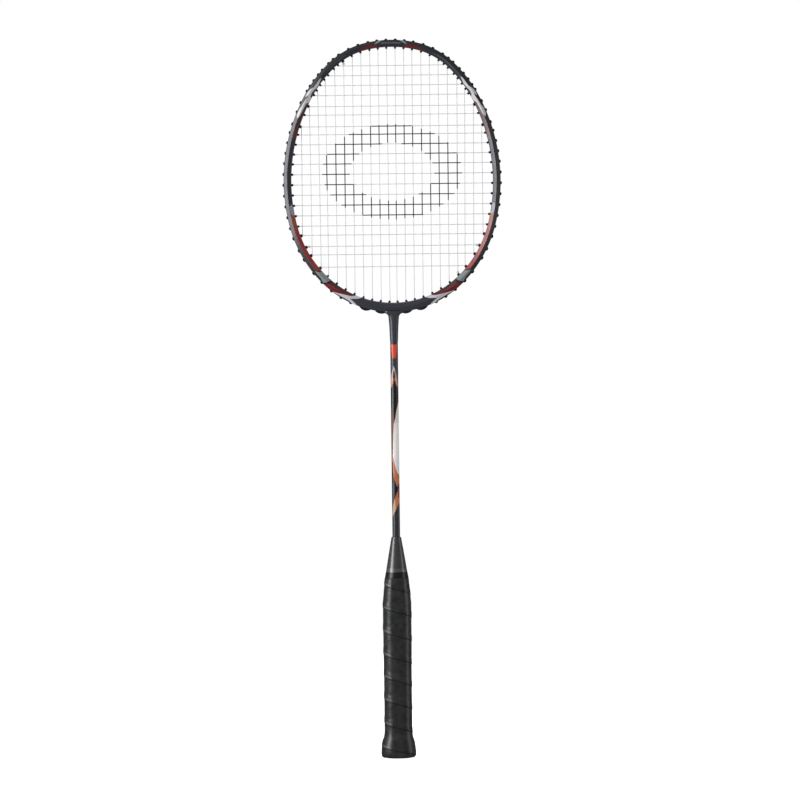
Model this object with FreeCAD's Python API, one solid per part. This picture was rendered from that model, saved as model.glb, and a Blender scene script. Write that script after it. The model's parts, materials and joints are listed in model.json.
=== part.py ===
import FreeCAD, Part
import math
import os

# Badminton racket, millimetres. Origin: centre of the butt end. +Z runs up the shaft to the top of
# the head, +X is to the right in the plane of the strings, Y is normal to the strings.

# Overall
overall_length = 675.0

# Head outline: arcs that meet tangentially, named by the bearing of their outward normal
# (0 at the top of the head, 180 at the throat). The last radius of each closes the outline.
outline_bearings = [0, 12, 44, 62, 104, 134, 180]
outer_radii = [108.0, 75.0, 122.7, 170.8, 118.0]
inner_radii = [102.8, 66.4, 115.2, 166.5, 104.4]
crown_width = 6.2
head_depth = 10.5
outer_edge_fillet = 1.9
inner_edge_fillet = 2.4
frame_wall = 1.0
groove_width = 5.0
groove_depth = 1.3

# Throat, joint insert and shaft
stem_radius = 4.85
stem_top_z = 413.0
throat_flare_radius = 4.0
throat_flare_z = 414.0
throat_half_depth = 4.4
throat_edge_fillet = 1.6
shaft_radius = 3.6
shaft_bore_radius = 2.5
shaft_top_z = 389.0
shaft_bottom_z = 75.0
insert_bottom_z = 345.0
insert_top_z = 424.6
insert_radius = shaft_bore_radius

# Cone and finishing tape
cone_top_z = 207.5
cone_base_z = 174.7
tape_bottom_z = 169.2
cone_skirt_z = 160.0
cone_top_radius = 4.55
cone_base_radius = 10.0
cone_wall = 1.5
cone_collar = 6.0
cone_socket_radius = 8.0
tape_thickness = 0.15

# Handle: octagons given as (height, width in X, depth in Y)
butt_plate_thickness = 1.6
butt_plate_chamfer = 0.8
neck_top_z = 176.0
octagon_bevel_x = 6.7 / 26.4
octagon_bevel_y = 6.2 / 24.0
grip_taper_z = 144.0
handle_outside = [
    (0.5, 30.6, 27.8),
    (2.6, 32.7, 29.8),
    (9.5, 32.5, 29.6),
    (16.0, 30.2, 27.5),
    (20.5, 27.3, 24.9),
    (26.0, 26.5, 24.1),
    (76.0, 26.4, 24.0),
    (grip_taper_z, 27.0, 24.5),
    (tape_bottom_z, 22.8, 22.8),
]
grip_thickness_low = 1.8
grip_thickness_top = 0.9

# Strings
string_radius = 0.34
string_lane = 0.36
weave_height = 0.44
weave_bend_radius = 20.0
tip_bend_radius = 3.0
exit_bend_radius = 0.8
mains_each_side = 11
main_first_x = 3.3
main_pitch = 8.2
main_top_lean = [0.8, 0.5, 0.1, 0.3, 0.1, 0.1, 0.4, 1.2, 0.2, 0.6, 0.0]
cross_count = 21
cross_top_z = 651.1
upper_cross_pitch = 9.22
upper_cross_gaps = 10
lower_cross_pitch = 9.68
last_cross_drop = 1.6
string_depth_in_groove = 0.55
crossing_margin = 1.5
knot_distance = 1.6
knot_start = 0.6
knot_gap = 0.1
knot_turn_pitch = 0.65

# Grommets
tip_length = 1.8
tip_taper = 0.25
barrel_radius = 1.2
barrel_bore_radius = 0.74
wide_barrel_radius = 1.6
wide_bore_radius = 1.15
drill_clearance = 0.05
saddle_margin = 0.35
head_half_width = 2.3
head_slot_half_width = 0.85
saddle_lift = 0.12
saddle_seat = 0.24
saddle_roundness = 0.92
head_height = 1.25
sharing_distance = 4.4
strip_thickness = 0.35
strip_overrun = 1.6
tunnel_roof = 0.2
groove_end_x = 6.0
crown_strip_mains = 5
throat_strip_mains = 4
throat_splay = [4.7, 4.6, 3.5, 3.0]
hump_height = 2.2
hump_reach = 1.0

# Which holes the four string ends are tied off through
main_tie_cross = 18
cross_start_tie_main = 5
cross_end_tie_main = 7
knot_turns = 3

# Size of the blocks that only cut material away
cutter_size = 60.0

Vector = FreeCAD.Vector
Y_AXIS = Vector(0, 1, 0)
Z_AXIS = Vector(0, 0, 1)
UP = Vector(0, 0, 1)
DOWN = Vector(0, 0, -1)
LEFT = Vector(-1, 0, 0)


# ---------------------------------------------------------------- outline of the head

def arc_chain(top_z, radii):
    """Right half of an outline: (centre x, centre z, radius, first bearing, last bearing) of each arc."""
    bearings = [math.radians(value) for value in outline_bearings]
    spans = list(zip(bearings, bearings[1:]))
    reach = sum(r * (math.sin(b) - math.sin(a)) for r, (a, b) in zip(radii, spans))
    last_start, last_end = spans[-1]
    closing_radius = reach / (math.sin(last_start) - math.sin(last_end))
    arcs = []
    x, z = 0.0, top_z
    for radius, (start, end) in zip(radii + [closing_radius], spans):
        centre_x = x - radius * math.sin(start)
        centre_z = z - radius * math.cos(start)
        arcs.append((centre_x, centre_z, radius, start, end))
        x = centre_x + radius * math.sin(end)
        z = centre_z + radius * math.cos(end)
    return arcs


outer_chain = arc_chain(overall_length, outer_radii)
inner_chain = arc_chain(overall_length - crown_width, inner_radii)


def chain_point(chain, bearing, offset=0.0, y=0.0):
    """Point on a chain where the outward normal has this bearing, moved outwards by offset."""
    side = -1.0 if bearing < 0 else 1.0
    angle = math.radians(abs(bearing))
    for centre_x, centre_z, radius, start, end in chain:
        if angle <= end + 1e-9:
            x = centre_x + (radius + offset) * math.sin(angle)
            return Vector(side * x, y, centre_z + (radius + offset) * math.cos(angle))


def outline_wire(chain, offset, y):
    """Closed outline of the head at this offset and this depth."""
    edges = []
    for side in (1.0, -1.0):
        for centre_x, centre_z, radius, start, end in chain:
            points = []
            for angle in (start, 0.5 * (start + end), end):
                x = centre_x + (radius + offset) * math.sin(angle)
                points.append(Vector(side * x, y, centre_z + (radius + offset) * math.cos(angle)))
            edges.append(Part.Arc(*points).toShape())
    return Part.Wire(Part.__sortEdges__(edges))


def outline_prism(chain, offset, half_depth):
    """Solid with the outline's shape, from -half_depth to +half_depth in Y."""
    face = Part.Face(outline_wire(chain, offset, -half_depth))
    return face.extrude(Vector(0, 2 * half_depth, 0))


def solve(function, target, low, high):
    """Bearing between low and high where a falling or rising function reaches the target."""
    rising = function(high) > function(low)
    for _ in range(50):
        middle = 0.5 * (low + high)
        if (function(middle) < target) == rising:
            low = middle
        else:
            high = middle
    return 0.5 * (low + high)


# ---------------------------------------------------------------- string ends and grommets

class StringEnd:
    """Where one string, or two that share a hole, meets the frame on the right-hand side."""

    def __init__(self, bearing, splay=0.0):
        self.shared = False
        self.splay = splay
        self.set_bearing(bearing)

    def set_bearing(self, bearing):
        """Put the inner tip at this bearing and find where the hole comes out of the groove."""
        self.bearing = bearing
        self.tip = chain_point(inner_chain, bearing, -tip_length)
        angle = math.radians(bearing)
        normal = Vector(math.sin(angle), 0, math.cos(angle))
        if self.splay:
            exit_x = self.tip.x + self.splay
            self.exit_bearing = solve(lambda b: chain_point(outer_chain, b).x, exit_x, 90, 180)
        else:
            self.exit_bearing = solve(
                lambda b: (chain_point(outer_chain, b) - self.tip).cross(normal).y,
                0.0, max(bearing - 40, 0), min(bearing + 40, 180),
            )
        self.edge = chain_point(outer_chain, self.exit_bearing)
        self.seat = self.tip + (self.edge - self.tip) * (1 - string_depth_in_groove / self.hole_length())

    def hole_length(self):
        return (self.edge - self.tip).Length

    def axis_bearing(self):
        axis = self.edge - self.tip
        return math.degrees(math.atan2(axis.x, axis.z))


def on_side(point, side, y):
    """A right-hand point taken to side 1 (right) or -1 (left), at depth y."""
    return Vector(side * point.x, y, point.z)


def cross_height(index):
    """Height of a cross string, counted from the top; the lowest one is set a little apart."""
    upper = min(index, upper_cross_gaps)
    z = cross_top_z - upper_cross_pitch * upper - lower_cross_pitch * (index - upper)
    return z - last_cross_drop if index == cross_count - 1 else z


def main_end(index, low, high, lean=0.0, splay=0.0):
    """End of a main string where its line, leaning out a little, meets the curve of the inner tips."""
    x = main_first_x + main_pitch * index + lean
    return StringEnd(solve(lambda b: chain_point(inner_chain, b, -tip_length).x, x, low, high), splay)


def cross_end(index):
    z = cross_height(index)
    return StringEnd(solve(lambda b: chain_point(inner_chain, b, -tip_length).z, z, 0, 180))


def share_close_holes(main_ends, cross_ends):
    """Where a main and a cross would come out almost together, both use one wider hole."""
    for index, end in enumerate(main_ends):
        nearest = min(cross_ends, key=lambda other: (other.tip - end.tip).Length)
        if (nearest.tip - end.tip).Length < sharing_distance and not nearest.shared:
            nearest.set_bearing(0.5 * (nearest.bearing + end.bearing))
            nearest.shared = True
            main_ends[index] = nearest


splays = throat_splay + [0.0] * (mains_each_side - len(throat_splay))
main_tops = [main_end(index, 0, 90, lean=main_top_lean[index]) for index in range(mains_each_side)]
main_bottoms = [main_end(index, 90, 180, splay=splays[index]) for index in range(mains_each_side)]
cross_ends = [cross_end(index) for index in range(cross_count)]
share_close_holes(main_tops, cross_ends)
share_close_holes(main_bottoms, cross_ends)
all_ends = main_tops + [end for end in cross_ends + main_bottoms if end not in main_tops]


def is_wide(end, side):
    """Shared holes, and holes that a string end is tied off through, take the wide grommet."""
    if end.shared or end is cross_ends[main_tie_cross]:
        return True
    tie = main_bottoms[cross_end_tie_main] if side > 0 else main_tops[cross_start_tie_main]
    return end is tie


def placed_on_hole(shape, end, side):
    """Move a shape made along +Z from the inner tip onto the hole's axis."""
    turn = FreeCAD.Rotation(Y_AXIS, side * end.axis_bearing())
    shape.Placement = FreeCAD.Placement(on_side(end.tip, side, 0), turn)
    return shape


def hole_cylinder(radius, start, length, end, side):
    return placed_on_hole(Part.makeCylinder(radius, length, Vector(0, 0, start)), end, side)


def grommet_tube(end, side):
    """Tube through the frame, ending in a tapered tip inside the head, not yet bored."""
    wide = is_wide(end, side)
    outer = wide_barrel_radius if wide else barrel_radius
    top = end.hole_length() - groove_depth + 2 * saddle_lift
    tip = Part.makeCone(outer - tip_taper, outer, tip_length)
    barrel = Part.makeCylinder(outer, top - tip_length, Vector(0, 0, tip_length))
    return placed_on_hole(tip.fuse(barrel), end, side)


def grommet_bore(end, side):
    bore = wide_bore_radius if is_wide(end, side) else barrel_bore_radius
    return hole_cylinder(bore, -1, end.hole_length() + 6, end, side)


def saddle(end, side):
    """Outer head of a grommet: a rounded lug across the groove, slotted where the string turns."""
    half = saddle_margin + (wide_barrel_radius if is_wide(end, side) else barrel_radius)
    floor = end.hole_length() - groove_depth + saddle_lift
    height = groove_depth - saddle_lift + head_height
    block = Part.makeBox(2 * half, 2 * head_half_width, height, Vector(-half, -head_half_width, floor))
    top_edges = [
        edge for edge in block.Edges
        if abs(edge.CenterOfMass.y) < 0.01 and edge.CenterOfMass.z > floor + 0.9 * height
    ]
    lug = block.makeFillet(saddle_roundness * min(half, height), top_edges)
    slot = Part.makeBox(
        4 * half, 2 * head_slot_half_width, 2 * height,
        Vector(-2 * half, -head_slot_half_width, floor + saddle_seat),
    )
    return placed_on_hole(lug.cut(slot), end, side)


def single_grommet(end, side):
    return grommet_tube(end, side).fuse(saddle(end, side)).cut(grommet_bore(end, side))


def grommet_group(ends, side):
    """Separate grommets of one kind, kept as one group of solids."""
    return Part.makeCompound([single_grommet(end, side) for end in ends])


# ---------------------------------------------------------------- frame pieces

def flat_face_edges(solid, outer):
    """Edges round the two flat faces of the ring: the outer outline's or the inner outline's."""
    edges = []
    for face in solid.Faces:
        if isinstance(face.Surface, Part.Plane):
            for wire in face.Wires:
                if wire.isSame(face.OuterWire) == outer:
                    edges += wire.Edges
    return edges


def frame_envelope():
    """The head's ring with rounded edges, before it is hollowed and grooved."""
    half = head_depth / 2
    ring = outline_prism(outer_chain, 0, half).cut(outline_prism(inner_chain, 0, half + 1))
    ring = ring.makeFillet(inner_edge_fillet, flat_face_edges(ring, False))
    return ring.makeFillet(outer_edge_fillet, flat_face_edges(ring, True))


def make_head_frame(envelope):
    """Hollow moulded hoop with a string groove round its outside and a drilled hole per grommet."""
    hollow_half = head_depth / 2 - frame_wall
    hollow = outline_prism(outer_chain, -groove_depth - frame_wall, hollow_half)
    hollow = hollow.cut(outline_prism(inner_chain, frame_wall, hollow_half + 1))
    groove_half = groove_width / 2
    groove = outline_prism(outer_chain, 5.0, groove_half)
    groove = groove.cut(outline_prism(outer_chain, -groove_depth, groove_half + 1))
    groove = groove.cut(Part.makeBox(
        2 * groove_end_x, cutter_size, cutter_size, Vector(-groove_end_x, -0.5 * cutter_size, shaft_top_z)
    ))
    drills = []
    for end in all_ends:
        for side in (1, -1):
            radius = wide_barrel_radius if is_wide(end, side) else barrel_radius
            drills.append(hole_cylinder(radius + drill_clearance, 0, end.hole_length(), end, side))
    insert_hole = Part.makeCylinder(insert_radius, insert_top_z - shaft_top_z, Vector(0, 0, shaft_top_z))
    return envelope.cut([hollow, groove, insert_hole] + drills)


def make_throat(envelope, humps):
    """Moulded stem that flares into the hoop, with a socket for the joint insert."""
    top_z = insert_top_z
    profile = Part.makePolygon([
        Vector(0, 0, shaft_top_z),
        Vector(shaft_radius, 0, shaft_top_z),
        Vector(stem_radius, 0, stem_top_z),
        Vector(stem_radius, 0, top_z),
        Vector(0, 0, top_z),
        Vector(0, 0, shaft_top_z),
    ])
    stem = Part.Face(profile).revolve(Vector(0, 0, 0), Z_AXIS, 360)
    reach = stem_radius + throat_flare_radius
    bend_x = reach - throat_flare_radius * math.sqrt(0.5)
    bend_z = throat_flare_z + throat_flare_radius * math.sqrt(0.5)
    flare_top_z = throat_flare_z + throat_flare_radius
    y = -throat_half_depth
    corners = [Vector(reach, y, flare_top_z), Vector(reach, y, top_z),
               Vector(-reach, y, top_z), Vector(-reach, y, flare_top_z)]
    foot = [Vector(-stem_radius, y, throat_flare_z), Vector(stem_radius, y, throat_flare_z)]
    edges = [
        Part.Arc(foot[1], Vector(bend_x, y, bend_z), corners[0]).toShape(),
        Part.makePolygon(corners),
        Part.Arc(corners[3], Vector(-bend_x, y, bend_z), foot[0]).toShape(),
        Part.makePolygon(foot),
    ]
    flare = Part.Face(Part.Wire(edges)).extrude(Vector(0, 2 * throat_half_depth, 0))
    rounded = [edge for edge in flare.Edges if isinstance(edge.Curve, Part.Circle)]
    flare = flare.makeFillet(throat_edge_fillet, rounded)
    socket = Part.makeCylinder(insert_radius, top_z - shaft_top_z, Vector(0, 0, shaft_top_z))
    inside = outline_prism(inner_chain, 2.0, head_depth)
    return stem.fuse(flare).cut([envelope, inside, socket] + humps)


def tube(outer_radius, inner_radius, low_z, high_z):
    outside = Part.makeCylinder(outer_radius, high_z - low_z, Vector(0, 0, low_z))
    return outside.cut(Part.makeCylinder(inner_radius, high_z - low_z, Vector(0, 0, low_z)))


# ---------------------------------------------------------------- grommet strips

def band(low_bearing, high_bearing, inner_offset, outer_offset, half_width, side=1):
    """Curved strip that follows the outer outline between two offsets and two bearings."""
    def point(bearing, offset):
        return on_side(chain_point(outer_chain, bearing, offset), side, -half_width)
    joins = {sign * bearing for bearing in outline_bearings for sign in (-1, 1)}
    stops = [low_bearing] + sorted(b for b in joins if low_bearing < b < high_bearing) + [high_bearing]
    edges = [
        Part.Arc(point(start, offset), point(0.5 * (start + end), offset), point(end, offset)).toShape()
        for start, end in zip(stops, stops[1:]) for offset in (inner_offset, outer_offset)
    ]
    edges += [
        Part.makeLine(point(bearing, inner_offset), point(bearing, outer_offset))
        for bearing in (low_bearing, high_bearing)
    ]
    return Part.Face(Part.Wire(Part.__sortEdges__(edges))).extrude(Vector(0, 2 * half_width, 0))


def make_crown_strip():
    """One moulded strip with the grommets of the middle mains at the top of the head."""
    last = main_tops[crown_strip_mains - 1].exit_bearing + strip_overrun
    strip = band(-last, last, -groove_depth, strip_thickness - groove_depth, head_half_width)
    holes = [(end, side) for end in main_tops[:crown_strip_mains] for side in (1, -1)]
    strip = strip.fuse([grommet_tube(*hole) for hole in holes] + [saddle(*hole) for hole in holes])
    return strip.cut([grommet_bore(*hole) for hole in holes]).removeSplitter()


def hump(first, second, side):
    """Long low bridge over the string that runs between two neighbouring holes."""
    low = second.exit_bearing - hump_reach
    high = first.exit_bearing + hump_reach
    bearings = (low, 0.5 * (low + high), high)
    edge = [on_side(chain_point(outer_chain, b), side, -head_half_width) for b in bearings]
    floor = [on_side(chain_point(outer_chain, b, -groove_depth), side, -head_half_width) for b in bearings]
    crest = on_side(chain_point(outer_chain, bearings[1], hump_height), side, -head_half_width)
    wire = Part.Wire([
        Part.Arc(edge[0], crest, edge[2]).toShape(),
        Part.makeLine(edge[2], floor[2]),
        Part.Arc(floor[2], floor[1], floor[0]).toShape(),
        Part.makeLine(floor[0], edge[0]),
    ])
    return Part.Face(wire).extrude(Vector(0, 2 * head_half_width, 0))


def make_throat_strip(side):
    """Strip beside the throat: grommets joined in pairs by a hump over the string between them."""
    ends = main_bottoms[:throat_strip_mains]
    low = ends[-1].exit_bearing - strip_overrun
    high = ends[0].exit_bearing + hump_reach
    strip = band(low, high, -groove_depth, strip_thickness - groove_depth, head_half_width, side)
    pieces = [grommet_tube(end, side) for end in ends]
    tunnels = []
    for first, second in ((ends[0], ends[1]), (ends[2], ends[3])):
        pieces.append(hump(first, second, side))
        tunnels.append(band(
            second.exit_bearing - 0.5, first.exit_bearing + 0.5,
            strip_thickness - groove_depth, tunnel_roof, head_slot_half_width, side,
        ))
    bores = [hole_cylinder(barrel_bore_radius, -1, end.hole_length() + 1, end, side) for end in ends]
    return strip.fuse(pieces).cut(tunnels + bores).removeSplitter()


# ---------------------------------------------------------------- handle

def octagon(z, width, depth):
    """Octagonal outline of the handle at one height."""
    x, y = width / 2, depth / 2
    bevel_x, bevel_y = width * octagon_bevel_x, depth * octagon_bevel_y
    corners = [(x, y - bevel_y), (x - bevel_x, y), (bevel_x - x, y), (-x, y - bevel_y),
               (-x, bevel_y - y), (bevel_x - x, -y), (x - bevel_x, -y), (x, bevel_y - y)]
    points = [Vector(px, py, z) for px, py in corners]
    return Part.makePolygon(points + points[:1])


def octagon_loft(sections):
    return Part.makeLoft([octagon(*section) for section in sections], True, True)


def grip_thickness(z):
    """The grip thins out towards its upper end, where it is cut to a taper."""
    if z < grip_taper_z:
        return grip_thickness_low
    return grip_thickness_low + (grip_thickness_top - grip_thickness_low) * (
        (z - grip_taper_z) / (tape_bottom_z - grip_taper_z)
    )


def core_sections():
    """Outline of the wooden core: the outside of the handle less the grip's thickness."""
    return [
        (z, width - 2 * grip_thickness(z), depth - 2 * grip_thickness(z))
        for z, width, depth in handle_outside
    ]


def cone_radius(z):
    slope = (cone_base_radius - cone_top_radius) / (cone_top_z - cone_base_z)
    return cone_top_radius + slope * (cone_top_z - z)


def make_handle_core():
    """Octagonal wooden handle with a flared butt, a blind shaft bore and a round neck."""
    body = octagon_loft(core_sections())
    half = 0.5 * cutter_size
    above = Part.makeBox(cutter_size, cutter_size, cutter_size, Vector(-half, -half, cone_skirt_z))
    below = Part.makeBox(cutter_size, cutter_size, butt_plate_thickness, Vector(-half, -half, 0))
    neck = Part.makeCylinder(cone_socket_radius, neck_top_z - cone_skirt_z, Vector(0, 0, cone_skirt_z))
    bore = Part.makeCylinder(shaft_radius, neck_top_z - shaft_bottom_z, Vector(0, 0, shaft_bottom_z))
    return body.cut([above, below]).fuse(neck).cut(bore)


def make_butt_plate():
    _, width, depth = core_sections()[0]
    low = (0.0, width - 2 * butt_plate_chamfer, depth - 2 * butt_plate_chamfer)
    high = (butt_plate_thickness, width, depth)
    return octagon_loft([low, high])


def make_grip():
    """The wound grip as one sleeve over the wooden core."""
    outside = octagon_loft(handle_outside)
    lowest = core_sections()[0]
    inside = octagon_loft([(0.0,) + lowest[1:]] + core_sections()[1:])
    skirt = Part.makeCylinder(cone_radius(tape_bottom_z), cutter_size, Vector(0, 0, cone_skirt_z))
    return outside.cut([inside, skirt])


def make_cone():
    """Hollow conical cap between the handle and the shaft, with a skirt under the grip."""
    skirt_radius = cone_radius(tape_bottom_z)
    outline = Part.makePolygon([
        Vector(shaft_radius, 0, cone_top_z),
        Vector(cone_top_radius, 0, cone_top_z),
        Vector(skirt_radius, 0, tape_bottom_z),
        Vector(skirt_radius, 0, cone_skirt_z),
        Vector(cone_socket_radius, 0, cone_skirt_z),
        Vector(cone_socket_radius, 0, neck_top_z),
        Vector(cone_radius(neck_top_z) - cone_wall, 0, neck_top_z),
        Vector(shaft_radius, 0, cone_top_z - cone_collar),
        Vector(shaft_radius, 0, cone_top_z),
    ])
    return Part.Face(outline).revolve(Vector(0, 0, 0), Z_AXIS, 360)


def make_cone_tape():
    """Finishing tape round the lower end of the cone."""
    low, high = cone_radius(tape_bottom_z), cone_radius(cone_base_z)
    outline = Part.makePolygon([
        Vector(low, 0, tape_bottom_z),
        Vector(low + tape_thickness, 0, tape_bottom_z),
        Vector(high + tape_thickness, 0, cone_base_z),
        Vector(high, 0, cone_base_z),
        Vector(low, 0, tape_bottom_z),
    ])
    return Part.Face(outline).revolve(Vector(0, 0, 0), Z_AXIS, 360)


# ---------------------------------------------------------------- strings

def rounded_path(points, radii):
    """Straight runs through the points, joined by tangent arcs where the path turns."""
    edges = []
    start = points[0]
    for before, corner, after, radius in zip(points, points[1:], points[2:], radii[1:]):
        arriving = (corner - before).normalize()
        leaving = (after - corner).normalize()
        half_turn = 0.5 * arriving.getAngle(leaving)
        if half_turn < 1e-4:
            continue
        shorter = min((corner - before).Length, (after - corner).Length)
        setback = min(radius * math.tan(half_turn), 0.45 * shorter)
        bend_radius = setback / math.tan(half_turn)
        first = corner - arriving * setback
        last = corner + leaving * setback
        inward = (leaving - arriving).normalize()
        middle = corner + inward * (bend_radius * (1 / math.cos(half_turn) - 1))
        edges.append(Part.makeLine(start, first))
        edges.append(Part.Arc(first, middle, last).toShape())
        start = last
    edges.append(Part.makeLine(start, points[-1]))
    return edges


def string_solid(route):
    """Round string swept along a route of (point, bend radius)."""
    points = [point for point, _ in route]
    edges = rounded_path(points, [radius for _, radius in route])
    direction = (points[1] - points[0]).normalize()
    section = Part.Wire(Part.makeCircle(string_radius, points[0], direction))
    return Part.Wire(edges).makePipeShell([section], True, True)


def main_line(side, index, z):
    """X of a main string at height z, on the straight line between its two tips."""
    top, bottom = main_tops[index].tip, main_bottoms[index].tip
    return side * (bottom.x + (top.x - bottom.x) * (z - bottom.z) / (top.z - bottom.z))


def weave_side(side, index, row):
    """+1 where the main string passes on the +Y side of the cross string."""
    column = index if side > 0 else -1 - index
    return 1 if (column + row) % 2 == 0 else -1


def main_run(side, index):
    """One main string from bottom to top: out of its hole, woven past each cross, into its hole."""
    bottom, top = main_bottoms[index], main_tops[index]
    run = [
        (on_side(bottom.seat, side, string_lane), exit_bend_radius),
        (on_side(bottom.tip, side, string_lane), tip_bend_radius),
    ]
    for row in reversed(range(cross_count)):
        z = cross_ends[row].tip.z
        if bottom.tip.z + crossing_margin < z < top.tip.z - crossing_margin:
            y = weave_height * weave_side(side, index, row)
            run.append((Vector(main_line(side, index, z), y, z), weave_bend_radius))
    run += [
        (on_side(top.tip, side, string_lane), tip_bend_radius),
        (on_side(top.seat, side, string_lane), exit_bend_radius),
    ]
    return run


def cross_run(row):
    """One cross string from left to right."""
    end = cross_ends[row]
    columns = [(-1, index) for index in reversed(range(mains_each_side))]
    columns += [(1, index) for index in range(mains_each_side)]
    run = [
        (on_side(end.seat, -1, -string_lane), exit_bend_radius),
        (on_side(end.tip, -1, -string_lane), tip_bend_radius),
    ]
    for side, index in columns:
        x = main_line(side, index, end.tip.z)
        bottom, top = main_bottoms[index].tip.z, main_tops[index].tip.z
        if bottom + crossing_margin < end.tip.z < top - crossing_margin:
            y = -weave_height * weave_side(side, index, row)
            run.append((Vector(x, y, end.tip.z), weave_bend_radius))
    run += [
        (on_side(end.tip, 1, -string_lane), tip_bend_radius),
        (on_side(end.seat, 1, -string_lane), exit_bend_radius),
    ]
    return run


def tie_off(end, side, lane, inward):
    """From the first turn of a knot, just inside a hole, back out through the hole."""
    return [
        (on_side(end.tip + inward * knot_start, side, lane), 0.0),
        (on_side(end.tip, side, lane), tip_bend_radius),
        (on_side(end.seat, side, lane), exit_bend_radius),
    ]


def outside_point(first, first_side, second, second_side, lane):
    """Point in the groove halfway between two holes, where the string crosses outside."""
    middle = 0.5 * (first_side * first.exit_bearing + second_side * second.exit_bearing)
    return (chain_point(outer_chain, middle, -string_depth_in_groove, lane), weave_bend_radius)


def main_string_route():
    """The main string is one length: it goes up and down the bed from left to right."""
    tie = cross_ends[main_tie_cross]
    columns = [(-1, index) for index in reversed(range(mains_each_side))]
    columns += [(1, index) for index in range(mains_each_side)]
    route = tie_off(tie, -1, string_lane, LEFT)
    previous = (tie, -1)
    for count, (side, index) in enumerate(columns):
        run = main_run(side, index)
        ends = [main_bottoms[index], main_tops[index]]
        if count % 2:
            run = run[::-1]
            ends = ends[::-1]
        route.append(outside_point(*previous, ends[0], side, string_lane))
        route += run
        previous = (ends[1], side)
    route.append(outside_point(*previous, tie, 1, string_lane))
    return route + tie_off(tie, 1, string_lane, LEFT)[::-1]


def cross_string_route():
    """The cross string is one length: it goes from side to side, from the top down."""
    first_tie = main_tops[cross_start_tie_main]
    last_tie = main_bottoms[cross_end_tie_main]
    route = tie_off(first_tie, -1, -string_lane, DOWN)
    previous = (first_tie, -1)
    for row in range(cross_count):
        run = cross_run(row)
        start_side = -1
        if row % 2:
            run = run[::-1]
            start_side = 1
        route.append(outside_point(*previous, cross_ends[row], start_side, -string_lane))
        route += run
        previous = (cross_ends[row], -start_side)
    route.append(outside_point(*previous, last_tie, 1, -string_lane))
    return route + tie_off(last_tie, 1, -string_lane, UP)[::-1]


def knot(end, side, inward, lane):
    """Turns of string hitched round the neighbouring string, just inside a hole."""
    direction = Vector(side * inward.x, 0, inward.z)
    centre = on_side(end.tip, side, lane) + direction * knot_distance
    turns = []
    for count in range(knot_turns):
        shift = direction * ((count - 0.5 * (knot_turns - 1)) * knot_turn_pitch)
        turns.append(Part.makeTorus(2 * string_radius + knot_gap, string_radius, centre + shift, direction))
    return turns[0].fuse(turns[1:])


def make_knots():
    """The four knots: both ends of the main string and both ends of the cross string."""
    tie = cross_ends[main_tie_cross]
    return Part.makeCompound([
        knot(tie, -1, LEFT, -string_lane),
        knot(tie, 1, LEFT, -string_lane),
        knot(main_tops[cross_start_tie_main], -1, DOWN, string_lane),
        knot(main_bottoms[cross_end_tie_main], 1, UP, string_lane),
    ])


# ---------------------------------------------------------------- the pieces

def single_ends(ends, side):
    """Ends whose hole holds one string only and isn't in a strip or a tie-off."""
    return [end for end in ends if not is_wide(end, side)]


def make_pieces():
    envelope = frame_envelope()
    loose_mains = main_tops[crown_strip_mains:] + main_bottoms[throat_strip_mains:]
    tie = cross_ends[main_tie_cross]
    tie_holes = [(tie, 1), (tie, -1), (main_tops[cross_start_tie_main], -1),
                 (main_bottoms[cross_end_tie_main], 1)]
    humps = []
    for side in (1, -1):
        for first in (0, 2):
            humps.append(hump(main_bottoms[first], main_bottoms[first + 1], side))
    pieces = {
        "head_frame": make_head_frame(envelope),
        "throat": make_throat(envelope, humps),
        "joint_insert": Part.makeCylinder(
            insert_radius, insert_top_z - insert_bottom_z, Vector(0, 0, insert_bottom_z)
        ),
        "shaft": tube(shaft_radius, shaft_bore_radius, shaft_bottom_z, shaft_top_z),
        "cone_cap": make_cone(),
        "cone_tape": make_cone_tape(),
        "handle_core": make_handle_core(),
        "butt_plate": make_butt_plate(),
        "grip_wrap": make_grip(),
        "crown_grommet_strip": make_crown_strip(),
        "tie_off_grommets": Part.makeCompound([single_grommet(*hole) for hole in tie_holes]),
        "main_string": string_solid(main_string_route()),
        "cross_string": string_solid(cross_string_route()),
        "string_knots": make_knots(),
    }
    for name, side in (("left", -1), ("right", 1)):
        shared = [end for end in cross_ends if end.shared]
        pieces["throat_grommet_strip_" + name] = make_throat_strip(side)
        pieces["main_grommets_" + name] = grommet_group(single_ends(loose_mains, side), side)
        pieces["cross_grommets_" + name] = grommet_group(single_ends(cross_ends, side), side)
        pieces["shared_grommets_" + name] = grommet_group(shared, side)
    return pieces


os.makedirs("parts", exist_ok=True)
for node, shape in make_pieces().items():
    shape.exportStep("parts/" + node + ".step")
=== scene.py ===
import json
import math

import bpy
import numpy as np
from mathutils import Matrix, Vector


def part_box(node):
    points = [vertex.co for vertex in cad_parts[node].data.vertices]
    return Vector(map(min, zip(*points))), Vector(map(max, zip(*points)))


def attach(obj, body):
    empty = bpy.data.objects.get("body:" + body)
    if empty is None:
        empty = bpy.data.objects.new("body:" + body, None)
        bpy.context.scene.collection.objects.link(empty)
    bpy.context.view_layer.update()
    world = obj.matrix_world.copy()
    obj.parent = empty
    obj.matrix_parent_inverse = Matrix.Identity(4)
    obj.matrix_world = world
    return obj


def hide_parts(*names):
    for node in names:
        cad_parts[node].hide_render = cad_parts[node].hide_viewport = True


# The looks of a badminton racket, in metres. +Z runs from the butt up the shaft, +X is to the right in
# the plane of the strings, and -Y is the front. Sizes named here are millimetres times MM.

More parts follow.
